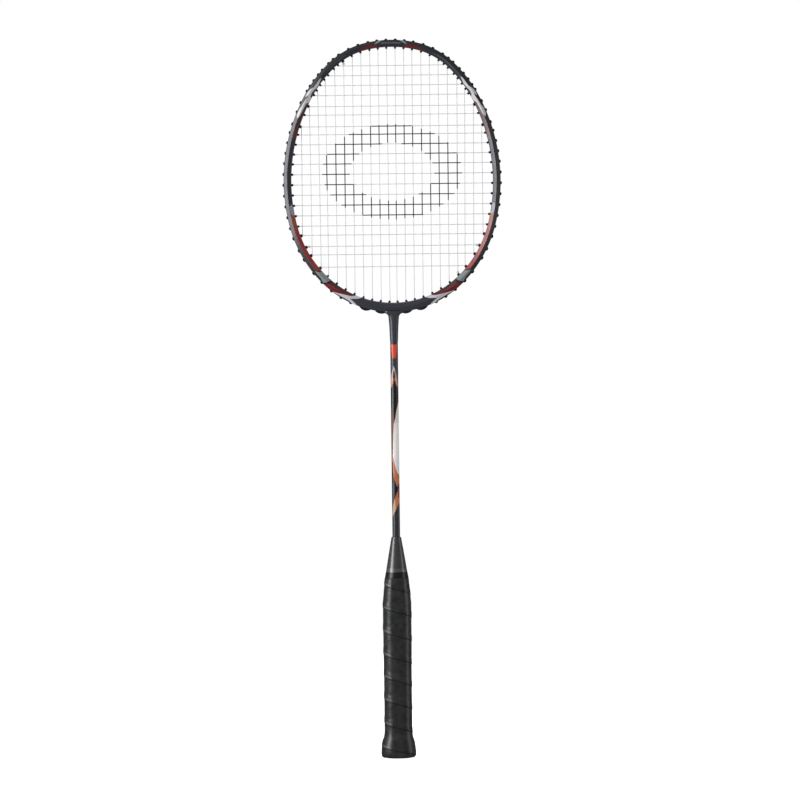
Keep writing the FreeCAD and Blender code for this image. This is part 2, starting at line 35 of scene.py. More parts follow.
MM = 0.001
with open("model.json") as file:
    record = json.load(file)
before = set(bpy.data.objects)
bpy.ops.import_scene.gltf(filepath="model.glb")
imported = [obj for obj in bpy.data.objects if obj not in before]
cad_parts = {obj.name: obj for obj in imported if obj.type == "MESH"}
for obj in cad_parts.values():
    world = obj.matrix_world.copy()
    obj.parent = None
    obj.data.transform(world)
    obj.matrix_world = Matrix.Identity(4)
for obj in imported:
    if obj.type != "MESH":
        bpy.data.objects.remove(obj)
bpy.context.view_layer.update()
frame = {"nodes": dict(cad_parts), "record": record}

hoop_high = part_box("head_frame")[1]
throat_low, throat_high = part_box("throat")
shaft_low, shaft_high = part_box("shaft")
cone_low, cone_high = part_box("cone_cap")
tape_low, tape_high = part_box("cone_tape")
plate_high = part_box("butt_plate")[1]

# Outline of the hoop: tangent arcs named by the bearing of their outward normal, 0 at the top
OUTLINE_BEARINGS = np.radians([0, 12, 44, 62, 104, 134, 180])
OUTER_RADII = [radius * MM for radius in (108.0, 75.0, 122.7, 170.8, 118.0)]
INNER_RADII = [radius * MM for radius in (102.8, 66.4, 115.2, 166.5, 104.4)]
CROWN_WIDTH = 6.2 * MM
GROOVE_DEPTH = 1.3 * MM
GROOVE_HALF_WIDTH = 2.5 * MM
HOOP_HALF_DEPTH = hoop_high.y

# String bed
STRING_RADIUS = 0.34 * MM
STRING_LANE = 0.36 * MM
WEAVE_HEIGHT = 0.42 * MM
WEAVE_STEP = 0.9 * MM
TIP_BEND = 3.0 * MM
EXIT_BEND = 0.8 * MM
GROOVE_BEND = 20.0 * MM
MAINS_EACH_SIDE = 11
MAIN_FIRST_X = 3.3 * MM
MAIN_PITCH = 8.2 * MM
MAIN_TOP_LEAN = [lean * MM for lean in (0.8, 0.5, 0.1, 0.3, 0.1, 0.1, 0.4, 1.2, 0.2, 0.6, 0.0)]
CROSS_COUNT = 21
CROSS_TOP_Z = 651.1 * MM
UPPER_CROSS_PITCH = 9.22 * MM
UPPER_CROSS_GAPS = 10
LOWER_CROSS_PITCH = 9.68 * MM
LAST_CROSS_DROP = 1.6 * MM
SEAT_DEPTH = 0.55 * MM
CROSSING_MARGIN = 1.5 * MM
TIP_LENGTH = 1.8 * MM
SHARING_DISTANCE = 4.4 * MM
THROAT_SPLAY = [splay * MM for splay in (4.7, 4.6, 3.5, 3.0)]
KNOT_START = 0.6 * MM
MAIN_TIE_CROSS = 18
CROSS_START_TIE_MAIN = 5
CROSS_END_TIE_MAIN = 7

# Oval ring stencilled on the string bed: its hole is this share of its size
RING_CENTRE_Z = 551.0 * MM
RING_HALF_WIDTH = 66.0 * MM
RING_HALF_HEIGHT = 45.0 * MM
RING_HOLE = 0.6
INK_THICKNESS = 0.14 * MM


# ---------------- materials

class Finish:
    """A material under construction: short ways to add the nodes that drive one Principled shader."""

    def __init__(self, name, **constants):
        self.material = bpy.data.materials.new(name)
        self.material.use_nodes = True
        self.tree = self.material.node_tree
        self.shader = self.tree.nodes["Principled BSDF"]
        for socket, value in constants.items():
            self.shader.inputs[socket.replace("_", " ")].default_value = value

    def node(self, kind, **settings):
        node = self.tree.nodes.new(kind)
        for name, value in settings.items():
            setattr(node, name, value)
        return node

    def plug(self, socket, source):
        """Link a socket to a source, or set it where the source is a plain value."""
        if isinstance(source, bpy.types.NodeSocket):
            self.tree.links.new(source, socket)
        else:
            socket.default_value = source

    def drive(self, name, source):
        self.plug(self.shader.inputs[name], source)

    def math(self, operation, first, second=0.0, clamp=False):
        node = self.node("ShaderNodeMath", operation=operation, use_clamp=clamp)
        self.plug(node.inputs[0], first)
        self.plug(node.inputs[1], second)
        return node.outputs[0]

    def span(self, source, low, high, new_low=0.0, new_high=1.0):
        """Source taken from low..high to new_low..new_high and held there outside."""
        node = self.node("ShaderNodeMapRange", clamp=True)
        for socket, value in zip(node.inputs, (source, low, high, new_low, new_high)):
            self.plug(socket, value)
        return node.outputs[0]

    def attribute(self, name):
        return self.node("ShaderNodeAttribute", attribute_name=name).outputs["Fac"]

    def place(self, scale=(1.0, 1.0, 1.0)):
        """Object coordinates, multiplied in each direction."""
        coordinates = self.node("ShaderNodeTexCoord").outputs["Object"]
        mapping = self.node("ShaderNodeMapping")
        self.plug(mapping.inputs["Vector"], coordinates)
        mapping.inputs["Scale"].default_value = scale
        return mapping.outputs["Vector"]

    def noise(self, size, detail=3.0, scale=(1.0, 1.0, 1.0)):
        """Noise from 0 to 1 whose lumps are about this size in metres."""
        node = self.node("ShaderNodeTexNoise")
        self.plug(node.inputs["Vector"], self.place(scale))
        node.inputs["Scale"].default_value = 1.0 / size
        node.inputs["Detail"].default_value = detail
        return node.outputs["Fac"]

    def cells(self, size):
        """Distance to the nearest cell centre, for grain and pores of about this size."""
        node = self.node("ShaderNodeTexVoronoi")
        self.plug(node.inputs["Vector"], self.place())
        node.inputs["Scale"].default_value = 1.0 / size
        return node.outputs["Distance"]

    def mix(self, factor, first, second):
        node = self.node("ShaderNodeMix", data_type="RGBA")
        self.plug(node.inputs["Factor"], factor)
        for socket, colour in ((node.inputs[6], first), (node.inputs[7], second)):
            self.plug(socket, colour if isinstance(colour, bpy.types.NodeSocket) else (*colour, 1.0))
        return node.outputs[2]

    def curve(self, along, points):
        """A function of along made of straight stretches between the points (position, value)."""
        start, end = points[0][0], points[-1][0]
        node = self.node("ShaderNodeFloatCurve")
        self.plug(node.inputs["Value"], self.span(along, start, end))
        mapping = node.mapping
        mapping.use_clip = False
        line = mapping.curves[0]
        for position, value in points[1:-1]:
            line.points.new((position - start) / (end - start), value)
        line.points[0].location = (0.0, points[0][1])
        line.points[-1].location = (1.0, points[-1][1])
        for point in line.points:
            point.handle_type = "VECTOR"
        mapping.update()
        return node.outputs["Value"]

    def shape(self, along, across, rows, edge):
        """1 inside a painted shape, 0 outside. Rows are (along, low edge, high edge)."""
        fade = 0.3
        low = self.curve(along, [(place, bottom) for place, bottom, _ in rows])
        high = self.curve(along, [(place, top) for place, _, top in rows])
        above = self.math("DIVIDE", self.math("SUBTRACT", across, low), edge, clamp=True)
        below = self.math("DIVIDE", self.math("SUBTRACT", high, across), edge, clamp=True)
        started = self.span(along, rows[0][0], rows[0][0] + fade)
        ended = self.span(along, rows[-1][0] - fade, rows[-1][0], 1.0, 0.0)
        sides, ends = self.math("MULTIPLY", above, below), self.math("MULTIPLY", started, ended)
        return self.math("MULTIPLY", sides, ends)

    def paint(self, ground, shapes, edge=0.04):
        """Ground colour with painted shapes laid over it in order, placed by the piece's own coordinates."""
        along, across = self.attribute("along"), self.attribute("across")
        colour = ground
        for tint, rows in shapes:
            colour = self.mix(self.shape(along, across, rows, edge), colour, tint)
        return colour

    def bump(self, height, depth):
        """Raise the surface by depth metres where height is 1."""
        node = self.node("ShaderNodeBump")
        self.plug(node.inputs["Height"], height)
        node.inputs["Strength"].default_value = 1.0
        node.inputs["Distance"].default_value = depth
        self.drive("Normal", node.outputs["Normal"])


CHARCOAL = (0.027, 0.029, 0.037)
SLATE = (0.042, 0.045, 0.06)
INNER_EDGE_HIGHLIGHT = (0.085, 0.088, 0.105)
BLACK = (0.008, 0.008, 0.01)
DARK_RED = (0.15, 0.012, 0.02)
BROWN_RED = (0.075, 0.022, 0.02)
RED = (0.3, 0.02, 0.03)
EMBER = (0.32, 0.04, 0.026)
RUST = (0.27, 0.075, 0.032)
BRIGHT_ORANGE = (0.8, 0.075, 0.018)
SALMON = (0.56, 0.34, 0.25)
LILAC = (0.29, 0.28, 0.35)
SILVER = (0.24, 0.26, 0.26)
# Grey of the print at the hoop's top, and of thin painted highlight lines
GREY_PRINT_AND_HIGHLIGHT = (0.1, 0.1, 0.11)
WHITE = (0.62, 0.6, 0.63)
BEIGE = (0.85, 0.74, 0.66)
MAROON = (0.13, 0.028, 0.028)
OLIVE = (0.04, 0.042, 0.028)
BARK = (0.06, 0.04, 0.034)
WARM_WHITE = (0.95, 0.92, 0.89)
PALE = (0.84, 0.84, 0.92)
AMBER = (0.6, 0.18, 0.06)
NAVY = (0.022, 0.035, 0.075)

# Edges of a painted shape that runs off the side of its piece
LO, HI = -0.2, 1.2

# Graphics on the hoop, painted highlights among them: millimetres along it from the top, then the edges
# across it, 0 inside, 1 outside
HOOP_SHAPES = [
    # Grey ground of the left-out lettering at the top, as print
    (GREY_PRINT_AND_HIGHLIGHT, [(0, 0.36, 0.66), (9, 0.36, 0.66), (9.5, 0.48, 0.54)]),
    (SILVER, [(8, 0.9, 1), (10, 0.72, 1), (12.5, 0.52, 0.96), (14.5, 0.46, 0.66), (15.5, 0.48, 0.52)]),
    (OLIVE, [(14, 0.7, 0.74), (17, 0.58, 1), (24, 0.6, 1), (29, 0.7, 0.82)]),
    (DARK_RED, [(12.5, LO, 0.26), (15, LO, 0.48), (22, LO, 0.44), (28, LO, 0.36), (33, LO, 0)]),
    # Painted highlight: a thin grey line along the inner face near the top
    (GREY_PRINT_AND_HIGHLIGHT, [(40, 0.3, 0.32), (48, 0.28, 0.42), (66, 0.26, 0.38), (73, 0.28, 0.3)]),
    (WHITE, [(76, 0.32, 0.34), (79, 0.2, 0.44), (84, 0.02, 0.44), (88, 0.06, 0.46), (91, 0.18, 0.72),
        (94, 0.22, 0.84), (97, 0.16, 0.84), (100, LO, 0.74), (104, LO, 0.7), (105, 0.24, 0.7),
        (113, 0.3, 0.84), (118, 0.38, 0.84), (121, 0.56, 0.6)]),
    (BLACK, [(96, 0.5, 0.52), (99, 0.46, 0.72), (103, 0.58, 0.94), (109, 0.66, 0.94), (112, 0.82, 0.86)]),
    (BROWN_RED, [(103.5, LO, 0.1), (105, LO, 0.24), (113, LO, 0.3), (118, LO, 0.38), (121, LO, 0.56),
        (129, LO, 0.6), (134, LO, 0.4), (141, LO, 0.02)]),
    (DARK_RED, [(130, 0.3, 0.34), (134, 0.12, 0.56), (138, 0.16, 0.54), (142, 0.28, 0.32)]),
    (LILAC, [(203, 0.1, 0.2), (204.5, 0.06, 0.5), (211, 0.04, 0.5), (215, LO, 0.2), (216, LO, 0.02)]),
    (EMBER, [(211.5, 0.46, 0.52), (216, 0.05, 0.56), (222, LO, 0.58), (246, LO, 0.54), (262, LO, 0.56),
        (269.5, LO, 0.58), (273.5, LO, 0.26), (278, LO, 0.02)]),
    (RUST, [(213, LO, 0.2), (217, LO, 0.5), (223, LO, 0.44), (230, LO, 0)]),
    (RED, [(222, LO, 0.02), (232, LO, 0.44), (240, LO, 0.46), (246.5, LO, 0.3), (249, LO, 0)]),
    (RED, [(255.5, LO, 0.3), (258, LO, 0.44), (262, LO, 0.4), (265, LO, 0.1)]),
    (SILVER, [(270, 0.66, 0.7), (274, 0.34, 0.74), (278.5, LO, 0.74), (282, LO, 0.92), (284.5, LO, 0.76),
        (289, LO, 0.12), (290.5, LO, 0)]),
    (BLACK, [(283, 0.8, HI), (285, 0.62, HI), (289.5, LO, HI), (300, LO, HI), (316, LO, 0.2)]),
    (DARK_RED, [(283.8, 0.9, HI), (286, 0.64, HI), (291, 0.14, HI), (295, 0.06, 0.94), (300, 0.04, 0.72),
        (306, 0.06, 0.54), (312, 0.06, 0.34), (315, 0.06, 0.1)]),
    (EMBER, [(286, 0.72, 0.74), (289, 0.56, 0.68), (294, 0.44, 0.56), (299, 0.4, 0.48),
        (303, 0.3, 0.32)]),
    (BARK, [(286, LO, 0.02), (289, LO, 0.3), (296, LO, 0.32), (304, LO, 0.22), (311, LO, 0.06)]),
    (WHITE, [(294, 0.94, 0.98), (297, 0.82, 0.96), (301, 0.66, 0.9), (306, 0.48, 0.88), (312, 0.3, 0.9),
        (316, 0.06, HI), (318, LO, HI), (322.5, LO, 0.04)]),
    (SLATE, [(311.5, 0.62, 0.64), (315, 0.46, 0.76), (318.5, 0.3, 0.92), (323, 0, HI), (326, LO, HI),
        (400, LO, HI)]),
    # Painted highlight: a lighter steel-grey line along the inner edge of the hoop's lower part
    (INNER_EDGE_HIGHLIGHT, [(322, LO, 0), (328, LO, 0.13), (400, LO, 0.17)]),
]

# Graphics on the shaft, a painted highlight line among them: millimetres down it from its top, then the edges
# across it, 0 left, 1 right
SHAFT_SHAPES = [
    (BROWN_RED, [(0, LO, HI), (13, LO, HI), (17, LO, HI)]),
    (BRIGHT_ORANGE, [(0.5, 0.04, 0.94), (4, 0.12, 0.86), (10, 0.16, 0.8), (14, 0.26, 0.7),
        (15.5, 0.4, 0.46)]),
    (SLATE, [(12.5, 0.46, 0.5), (14.5, 0.3, 0.66), (17.5, LO, HI), (42, LO, HI)]),
    (WHITE, [(20.3, 0.4, 0.42), (22, 0.34, 0.5), (25, 0.24, 0.62), (27.5, 0.16, 0.7)]),
    (SALMON, [(26, 0.18, 0.68), (30, 0.06, 0.8), (35, -0.02, 0.92), (39.5, LO, 0.98), (41, LO, 0.02)]),
    (CHARCOAL, [(23.5, 0.4, 0.44), (27, 0.32, 0.56), (30.5, 0.28, 0.62), (33, 0.3, 0.6)]),
    (RUST, [(31, 0.42, 0.48), (35, 0.3, 0.64), (40.5, 0.06, 0.88), (42, LO, HI), (43, LO, HI)]),
    (BLACK, [(32.5, 0.44, 0.48), (36.5, 0.36, 0.6), (40.5, 0.2, 0.76), (44, LO, HI), (54, LO, HI),
        (64, LO, 0.66), (70, LO, 0.54), (76, LO, 0.3), (81, LO, 0.14), (95, LO, 0.05),
        (111, LO, 0.03)]),
    # Painted highlight: a thin grey line down the left of the black lens
    (GREY_PRINT_AND_HIGHLIGHT, [(41, 0.26, 0.3), (45, 0.22, 0.32), (60, 0.2, 0.28), (66, 0.2, 0.22)]),
    (BEIGE, [(53, 1, HI), (58, 0.84, HI), (64, 0.66, HI), (70, 0.54, HI), (76, 0.3, HI), (81, 0.2, HI),
        (90, 0.14, HI), (111, 0.1, HI)]),
    (MAROON, [(60, LO, 0.1), (68, LO, 0.4), (76, LO, 0.36), (88, LO, 0.26), (104, LO, 0.18),
        (112, LO, 0.04)]),
    (WARM_WHITE, [(74, 0.62, HI), (82, 0.44, HI), (100, 0.3, HI), (112, 0.3, HI)]),
    (PALE, [(106, 0.3, 0.34), (112, 0.2, HI), (118, 0.44, HI), (125, 0.88, HI)]),
    (AMBER, [(105, 0.12, 0.16), (109, 0.12, 0.34), (116, 0.14, 0.52), (121, 0.18, 0.74), (125, 0.26, HI),
        (128, 0.36, HI), (132, 0.54, 0.88), (134.5, 0.66, 0.7)]),
    (BLACK, [(108, LO, 0.04), (116, LO, 0.14), (121, LO, 0.18), (125, LO, 0.26), (128, LO, 0.36),
        (132, LO, 0.54), (134.5, LO, 0.7), (136, LO, HI), (138, LO, 0.82), (144, LO, 0.48),
        (150, LO, 0.24), (160, LO, 0.06)]),
    (NAVY, [(130, 0.02, 0.1), (133, LO, 0.3), (139, LO, 0.32), (143, LO, 0.1)]),
    (RED, [(135.5, 0.86, HI), (138.5, 0.72, HI), (144, 0.5, HI), (149, 0.4, 0.96)]),
    (AMBER, [(139, 0.66, 0.74), (144, 0.44, 0.86), (148, 0.26, HI), (151, 0.2, 0.84), (154, 0.14, 0.66),
        (158, 0.1, 0.42)]),
    (SALMON, [(146, 0.3, 0.4), (150, 0.16, 0.5), (155, 0.06, 0.54), (160, 0.02, 0.24),
        (163, 0.02, 0.06)]),
]


def lacquer(name, ground, shapes=()):
    """Clear-coated paint over carbon fibre, with fine flake and any painted graphics, painted highlight lines
    among them.
    """
    finish = Finish(name, Coat_Weight=0.5, Coat_Roughness=0.22)
    colour = finish.paint(ground, shapes) if shapes else ground
    flake = finish.span(finish.noise(0.35 * MM, 1.0), 0.4, 0.72, 0.84, 1.3)
    tinted = finish.node("ShaderNodeVectorMath", operation="SCALE")
    finish.plug(tinted.inputs[0], colour)
    finish.plug(tinted.inputs["Scale"], flake)
    finish.drive("Base Color", tinted.outputs[0])
    finish.drive("Roughness", finish.span(finish.noise(6.0 * MM), 0.3, 0.7, 0.34, 0.46))
    finish.bump(finish.noise(2.5 * MM, 2.0), 0.01 * MM)
    return finish.material


# Height in millimetres of the upper edge of the painted highlight band round the cone's foot
FOOT_HIGHLIGHT_TOP = 178.0


def cone_plastic():
    """Moulded metallic grey plastic with a fine satin grain and a painted highlight, a lighter band round its
    foot.
    """
    finish = Finish("cone_plastic", Metallic=0.6, Coat_Weight=0.6, Coat_Roughness=0.17)
    speck = finish.span(finish.noise(0.3 * MM, 1.0), 0.35, 0.7)
    cloud = finish.span(finish.noise(9.0 * MM), 0.3, 0.7)
    base = finish.mix(cloud, (0.076, 0.07, 0.073), (0.1, 0.093, 0.096))
    speckled = finish.mix(finish.math("MULTIPLY", speck, 0.5), base, (0.17, 0.16, 0.165))
    # Painted highlight: a lighter grey band round the cone's foot
    foot_highlight = finish.span(finish.attribute("height"), FOOT_HIGHLIGHT_TOP - 0.4, FOOT_HIGHLIGHT_TOP + 0.4, 0.6, 0.0)
    finish.drive("Base Color", finish.mix(foot_highlight, speckled, (0.2, 0.19, 0.195)))
    finish.drive("Roughness", finish.span(speck, 0.0, 1.0, 0.33, 0.42))
    finish.bump(finish.noise(0.25 * MM, 2.0), 0.012 * MM)
    return finish.material


def finishing_tape():
    """Thin stretched black tape with faint horizontal strain lines."""
    finish = Finish("finishing_tape", Coat_Weight=0.15, Coat_Roughness=0.25)
    strain = finish.noise(0.8 * MM, 3.0, (0.15, 0.15, 1.0))
    finish.drive("Base Color", finish.mix(strain, (0.005, 0.005, 0.006), (0.012, 0.012, 0.013)))
    finish.drive("Roughness", finish.span(strain, 0.3, 0.7, 0.26, 0.42))
    finish.bump(strain, 0.03 * MM)
    return finish.material


def grip_polyurethane():
    """Soft black polyurethane grip: pebbled, tacky, a little worn on the raised laps, with a painted
    highlight on them and painted shadow along the seams.
    """
    finish = Finish("grip_polyurethane", Coat_Weight=0.3, Coat_Roughness=0.3)
    pebble = finish.cells(0.9 * MM)
    mottle = finish.span(finish.noise(5.0 * MM, 4.0), 0.3, 0.72)
    wear_and_highlight = finish.attribute("wear_and_highlight")
    base = finish.mix(mottle, (0.017, 0.017, 0.018), (0.036, 0.036, 0.037))
    # Painted shadow: near black along each seam
    seam_shaded = finish.mix(finish.math("MULTIPLY", finish.attribute("seam"), 0.65), base, (0.003, 0.003, 0.003))
    # Painted highlight: lighter grey just above the seams on the raised laps
    finish.drive("Base Color", finish.mix(wear_and_highlight, seam_shaded, (0.15, 0.147, 0.15)))
    matt = finish.span(finish.math("ADD", mottle, pebble), 0.2, 1.4, 0.25, 0.38)
    # Worn shine: smoother just above the seams
    finish.drive("Roughness", finish.math("SUBTRACT", matt, finish.math("MULTIPLY", wear_and_highlight, 0.12)))
    grain = finish.math("ADD", finish.math("MULTIPLY", pebble, 0.6), finish.noise(2.4 * MM, 4.0))
    finish.bump(grain, 0.1 * MM)
    return finish.material


def moulded_nylon(name, colour, gloss):
    """Plain moulded nylon with faint flow marks."""
    finish = Finish(name)
    flow = finish.noise(3.0 * MM, 3.0)
    bright = tuple(1.7 * channel for channel in colour)
    finish.drive("Base Color", finish.mix(finish.span(flow, 0.35, 0.65), colour, bright))
    finish.drive("Roughness", finish.span(flow, 0.3, 0.7, gloss, gloss + 0.14))
    finish.bump(finish.noise(0.5 * MM, 2.0), 0.015 * MM)
    return finish.material


def string_finish(name, colour, roughness, coat):
    """Braided multifilament string: helical ribs under a thin clear jacket."""
    base = (*colour, 1.0)
    finish = Finish(name, Base_Color=base, Roughness=roughness, Coat_Weight=coat, Coat_Roughness=0.15)
    turns_per_centimetre = 9.0
    turns = finish.math("MULTIPLY", finish.attribute("along"), turns_per_centimetre)
    twist = finish.math("ADD", turns, finish.attribute("around"))
    ribs = finish.math("ABSOLUTE", finish.math("SINE", finish.math("MULTIPLY", twist, 4 * math.pi)))
    finish.bump(ribs, 0.015 * MM)
    return finish.material


def insert_metal():
    """Turned aluminium with fine circumferential tool marks."""
    finish = Finish("insert_metal", Metallic=1.0)
    marks = finish.noise(0.25 * MM, 2.0, (0.05, 0.05, 1.0))
    finish.drive("Base Color", finish.mix(marks, (0.42, 0.43, 0.44), (0.66, 0.67, 0.68)))
    finish.drive("Roughness", finish.span(marks, 0.3, 0.7, 0.24, 0.42))
    finish.bump(marks, 0.01 * MM)
    return finish.material


def handle_wood():
    """Pale sanded wood with grain along the handle."""
    finish = Finish("handle_wood")
    grain = finish.span(finish.noise(2.0 * MM, 5.0, (1.0, 1.0, 0.06)), 0.3, 0.7)
    finish.drive("Base Color", finish.mix(grain, (0.34, 0.2, 0.1), (0.58, 0.4, 0.23)))
    finish.drive("Roughness", finish.span(grain, 0.0, 1.0, 0.52, 0.7))
    finish.bump(grain, 0.06 * MM)
    return finish.material


def floor_white():
    """Pale studio floor, lit from inside so that it keeps its even tone."""
    finish = Finish("studio_floor", Roughness=0.9, Emission_Strength=1.0)
    tone = finish.span(finish.noise(0.4, 2.0), 0.3, 0.7)
    finish.drive("Emission Color", finish.mix(tone, (0.985, 0.985, 0.985), (1.0, 1.0, 1.0)))
    finish.drive("Base Color", finish.mix(tone, (0.8, 0.8, 0.8), (0.82, 0.82, 0.82)))
    return finish.material


# ---------------- meshes

def grid_faces(rows, columns, close_rows, close_columns):
    """Quads of a grid of points, row by row, open or closed in each direction."""
    faces = []
    for row in range(rows if close_rows else rows - 1):
        for column in range(columns if close_columns else columns - 1):
            next_row, next_column = (row + 1) % rows, (column + 1) % columns
            faces.append((
                row * columns + column, row * columns + next_column,
                next_row * columns + next_column, next_row * columns + column,
            ))
    return faces


def make_piece(name, grid, materials, nodes, attributes=None, close_rows=False, close_columns=True):
    """A smooth skin over rows of points that rides on the racket and stands for CAD nodes."""
    grid = np.asarray(grid, float)
    mesh = bpy.data.meshes.new(name)
    faces = grid_faces(*grid.shape[:2], close_rows, close_columns)
    mesh.from_pydata(grid.reshape(-1, 3).tolist(), [], faces)
    for attribute, values in (attributes or {}).items():
        layer = mesh.attributes.new(attribute, "FLOAT", "POINT")
        layer.data.foreach_set("value", np.asarray(values, np.float32).ravel())
    for material in materials:
        mesh.materials.append(material)
    mesh.shade_smooth()
    piece = bpy.data.objects.new(name, mesh)
    bpy.context.scene.collection.objects.link(piece)
    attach(piece, "root")
    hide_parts(*nodes)
    return piece


def smooth_curve(xs, ys, x):
    """Monotone cubic curve through the points (xs, ys), read at x."""
    xs, ys = np.asarray(xs, float), np.asarray(ys, float)
    slopes = np.diff(ys) / np.diff(xs)
    product = slopes[:-1] * slopes[1:]
    inner = np.where(product > 0, 2 * product / np.where(product > 0, slopes[:-1] + slopes[1:], 1.0), 0.0)
    tangents = np.concatenate([slopes[:1], inner, slopes[-1:]])
    x = np.clip(x, xs[0], xs[-1])
    index = np.clip(np.searchsorted(xs, x, side="right") - 1, 0, len(xs) - 2)
    step = xs[index + 1] - xs[index]
    t = (x - xs[index]) / step
    return (
        (1 + 2 * t) * (1 - t) ** 2 * ys[index] + t * (1 - t) ** 2 * step * tangents[index]
        + t * t * (3 - 2 * t) * ys[index + 1] + t * t * (t - 1) * step * tangents[index + 1]
    )


def bezier(first, control, last, count):
    """Points of a quadratic curve, without its first point."""
    t = np.linspace(0, 1, count + 1)[1:, None]
    first, control, last = (np.asarray(point, float) for point in (first, control, last))
    return list((1 - t) ** 2 * first + 2 * t * (1 - t) * control + t * t * last)


def around(count):
    """Angles once round the racket's axis; 0 faces the front."""
    return np.linspace(0, 2 * math.pi, count, endpoint=False)


def about_axis(radius, angles, z):
    """Points at this radius, angle and height about the racket's axis."""
    return np.stack(np.broadcast_arrays(radius * np.sin(angles), -radius * np.cos(angles), z), axis=-1)


def lathe(name, profile, material, nodes, sides, attributes):
    """Round piece turned about the racket's axis from a profile of (radius, z)."""
    radius, height = np.asarray(profile, float).T
    points = about_axis(radius[:, None], around(sides), height[:, None])
    return make_piece(name, points, [material], nodes, attributes)


# ---------------- outline of the hoop

def arc_chain(top_z, radii):
    """Right half of an outline: (centre x, centre z, radius, first bearing, last bearing) of each arc."""
    spans = list(zip(OUTLINE_BEARINGS, OUTLINE_BEARINGS[1:]))
    reach = sum(r * (math.sin(b) - math.sin(a)) for r, (a, b) in zip(radii, spans))
    last_start, last_end = spans[-1]
    closing_radius = reach / (math.sin(last_start) - math.sin(last_end))
    arcs = []
    x, z = 0.0, top_z
    for radius, (start, end) in zip(radii + [closing_radius], spans):
        centre_x = x - radius * math.sin(start)
        centre_z = z - radius * math.cos(start)
        arcs.append((centre_x, centre_z, radius, start, end))
        x = centre_x + radius * math.sin(end)
        z = centre_z + radius * math.cos(end)
    return arcs


outer_chain = arc_chain(hoop_high.z, OUTER_RADII)
inner_chain = arc_chain(hoop_high.z - CROWN_WIDTH, INNER_RADII)


def chain_point(chain, bearing, offset=0.0, y=0.0):
    """Point on a chain where the outward normal has this bearing in radians, moved outwards by offset."""
    side = -1.0 if bearing < 0 else 1.0
    angle = abs(bearing)
    for centre_x, centre_z, radius, start, end in chain:
        if angle <= end + 1e-9:
            x = centre_x + (radius + offset) * math.sin(angle)
            return Vector((side * x, y, centre_z + (radius + offset) * math.cos(angle)))


def solve(function, target, low, high):
    """Bearing between low and high where a falling or rising function reaches the target."""
    halvings = 40
    rising = function(high) > function(low)
    for _ in range(halvings):
        middle = 0.5 * (low + high)
        if (function(middle) < target) == rising:
            low = middle
        else:
            high = middle
    return 0.5 * (low + high)


# ---------------- hoop and throat

def hoop_section(width):
    """Section of the hoop as (distance from the inner edge, y): two ridged faces and a groove."""
    corner = ridge_half = 0.55 * MM
    facet_slope, facet_dish = 0.56, 0.08 * MM
    ridge_rounding, edge_rounding = 0.22 * MM, 0.35 * MM
    groove_lip, groove_corner = 0.3 * MM, 0.4 * MM
    inner_flat, inner_turn = 1.6 * MM, 2.6 * MM
    ridge, ridge_y, outer_corner = 0.5 * width, -HOOP_HALF_DEPTH, width - corner
    ridge_start, ridge_end, shoulder_y = ridge - ridge_half, ridge + ridge_half, ridge_y + ridge_rounding
    edge_y = shoulder_y + facet_slope * (ridge - ridge_half - corner)
    dish_y = 0.5 * (edge_y + shoulder_y) - facet_dish
    floor, groove_y = width - GROOVE_DEPTH, -GROOVE_HALF_WIDTH
    front = [np.array((0.0, 0.0)), np.array((0.0, -inner_flat))]
    for first, control, last, count in (
        ((0.0, -inner_turn), (0.0, edge_y + edge_rounding), (corner, edge_y), 5),
        ((corner, edge_y), (0.5 * (corner + ridge), dish_y), (ridge_start, shoulder_y), 5),
        ((ridge_start, shoulder_y), (ridge, ridge_y - ridge_rounding), (ridge_end, shoulder_y), 6),
        ((ridge_end, shoulder_y), (0.5 * (outer_corner + ridge), dish_y), (outer_corner, edge_y), 5),
        ((outer_corner, edge_y), (width, edge_y + edge_rounding), (width, groove_y - groove_lip), 5),
        ((width, groove_y - groove_lip), (width, groove_y), (width - groove_lip, groove_y), 4),
        ((floor + groove_corner, groove_y), (floor, groove_y), (floor, groove_y + groove_corner), 4),
    ):
        front += bezier(first, control, last, count)
    front.append(np.array((floor, 0.0)))
    back = [point * (1, -1) for point in front[-2:0:-1]]
    return np.array(front + back)


def hoop_stations():
    """Bearings round the whole hoop, about a millimetre apart: right side down, then left side up."""
    half = []
    for _, _, radius, start, end in outer_chain:
        count = math.ceil(radius * (end - start) / MM)
        half += list(np.linspace(start, end, count, endpoint=False))
    return half + [math.pi] + [-bearing for bearing in reversed(half[1:])]


def make_hoop(material):
    """The moulded hoop, carrying its graphics' coordinates: along from the top, across from the inside."""
    bearings = hoop_stations()
    inner = np.array([chain_point(inner_chain, bearing) for bearing in bearings])
    outer = np.array([chain_point(outer_chain, bearing) for bearing in bearings])
    middle = 0.5 * (inner + outer)
    steps = np.linalg.norm(np.roll(middle, -1, axis=0) - middle, axis=1)
    travelled = np.concatenate([[0.0], np.cumsum(steps)])
    along = np.minimum(travelled[:-1], travelled[-1] - travelled[:-1]) / MM
    points, across = [], []
    for start, end in zip(inner, outer):
        width = np.linalg.norm(end - start)
        section = hoop_section(width)
        outward = (end - start) / width
        points.append(start + section[:, :1] * outward + section[:, 1:] * (0, 1, 0))
        in_groove = (np.abs(section[:, 1]) < GROOVE_HALF_WIDTH + 0.1 * MM) & (section[:, 0] > 0.5 * width)
        across.append(np.where(in_groove, 1.0, section[:, 0] / width))
    return make_piece(
        "hoop", points, [material], ["head_frame"],
        {"along": np.repeat(along, len(across[0])), "across": across}, close_rows=True,
    )


